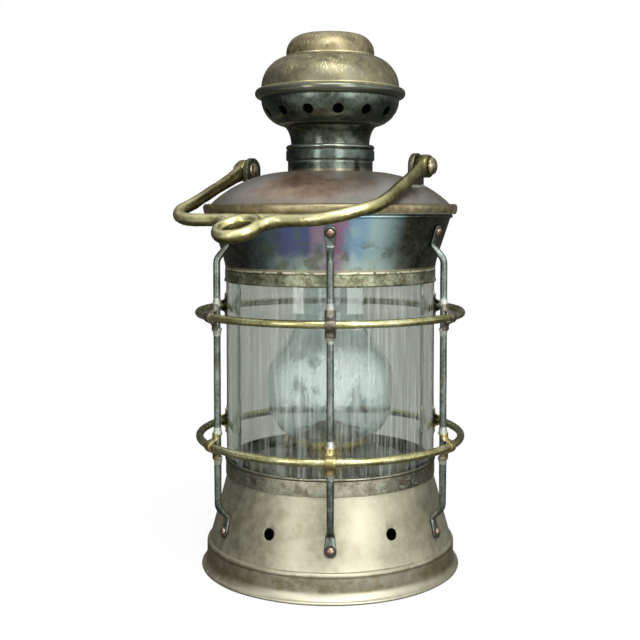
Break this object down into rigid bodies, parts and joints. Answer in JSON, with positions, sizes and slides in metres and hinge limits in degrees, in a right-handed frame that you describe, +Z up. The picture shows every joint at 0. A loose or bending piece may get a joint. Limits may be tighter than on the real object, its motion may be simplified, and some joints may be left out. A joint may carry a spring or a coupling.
{
  "type": "oil lantern",
  "caption": "Guarded ship's oil lantern: glass cylinder in a riveted rod cage, vented cowl, swinging bail with hanging eye, wick burner on a bayonet oil tank.",
  "frame": {"origin": "on the lantern's axis, at the underside of the foot flange", "axes": "+Z up the lantern's axis; X along the pivots of the bail, which rests towards -Y"},
  "size_m": [0.218, 0.2461, 0.423],
  "materials": {
    "base_brass": "old spun brass, khaki patina",
    "dark_brass": "dark oxidised brass",
    "gold_brass": "worn brass, brown in the hollows",
    "brown_brass": "copper-brown patina",
    "pewter_brass": "grey-green tarnished wire",
    "copper": "hammered copper",
    "clear_glass": "clear glass with dirt streaks",
    "gasket": "dull",
    "burner_brass": "brass, lightly tarnished",
    "cotton": "flat woven wick"
  },
  "bodies": {
    "lantern": {"base_skirt": "base_brass", "bayonet_ring": "base_brass", "lower_glass_ring": "dark_brass", "lower_gasket": "gasket", "glass_cylinder": "clear_glass", "upper_gasket": "gasket", "upper_glass_ring": "gold_brass", "hood": "dark_brass", "rim_band": "gold_brass", "roof": "brown_brass", "neck": "dark_brass", "vent_bowl": "dark_brass", "draught_plate": "dark_brass", "cowl": "gold_brass", "cowl_cap": "gold_brass", "guard_rod_1": "pewter_brass", "guard_rod_2": "pewter_brass", "guard_rod_3": "pewter_brass", "guard_rod_4": "pewter_brass", "guard_rod_5": "pewter_brass", "guard_rod_6": "pewter_brass", "upper_rod_rivets": "copper", "lower_rod_rivets": "copper", "upper_guard_ring": "gold_brass", "lower_guard_ring": "gold_brass", "upper_ring_clips": "brown_brass", "lower_ring_clips": "gold_brass", "bail_lug_left": "gold_brass", "bail_lug_right": "gold_brass", "bail_rivet_left": "gold_brass", "bail_rivet_right": "gold_brass"},
    "bail": {"bail": "gold_brass"},
    "oil_font": {"bottom_plate": "base_brass", "twist_grip": "base_brass", "oil_tank": "dark_brass", "filler_neck": "burner_brass", "burner_collar": "burner_brass", "burner_body": "burner_brass", "chimney_gallery": "burner_brass", "burner_dome": "burner_brass", "wick_tube": "burner_brass", "glass_chimney": "clear_glass"},
    "filler_cap": {"filler_cap": "burner_brass"},
    "wick_winder": {"wick_spindle": "burner_brass", "wick_knob": "burner_brass"},
    "wick": {"wick": "cotton"}
  },
  "joints": [
    {"name": "bail_swing", "type": "hinge", "parent": "lantern", "child": "bail", "pos_m": [0, 0, 0.317], "axis": [-1, 0, 0], "range_deg": [0, 224]},
    {"name": "font_twist", "type": "hinge", "parent": "lantern", "child": "oil_font", "pos_m": [0, 0, 0.015], "axis": [0, 0, 1], "range_deg": [0, 40]},
    {"name": "filler_cap_turn", "type": "hinge", "parent": "oil_font", "child": "filler_cap", "pos_m": [-0.0235, 0.0407, 0.0842], "axis": [0, 0, 1], "continuous": true},
    {"name": "wick_turn", "type": "hinge", "parent": "oil_font", "child": "wick_winder", "pos_m": [0, 0.0058, 0.0929], "axis": [-1, 0, 0], "range_deg": [-60, 90]},
    {"name": "wick_raise", "type": "slide", "parent": "oil_font", "child": "wick", "axis": [0, 0, 1], "range_m": [-0.0043, 0.0064]}
  ],
  "couplings": [
    {"joint": "wick_raise", "follows": "wick_turn", "m_per_rad": 0.004}
  ]
}
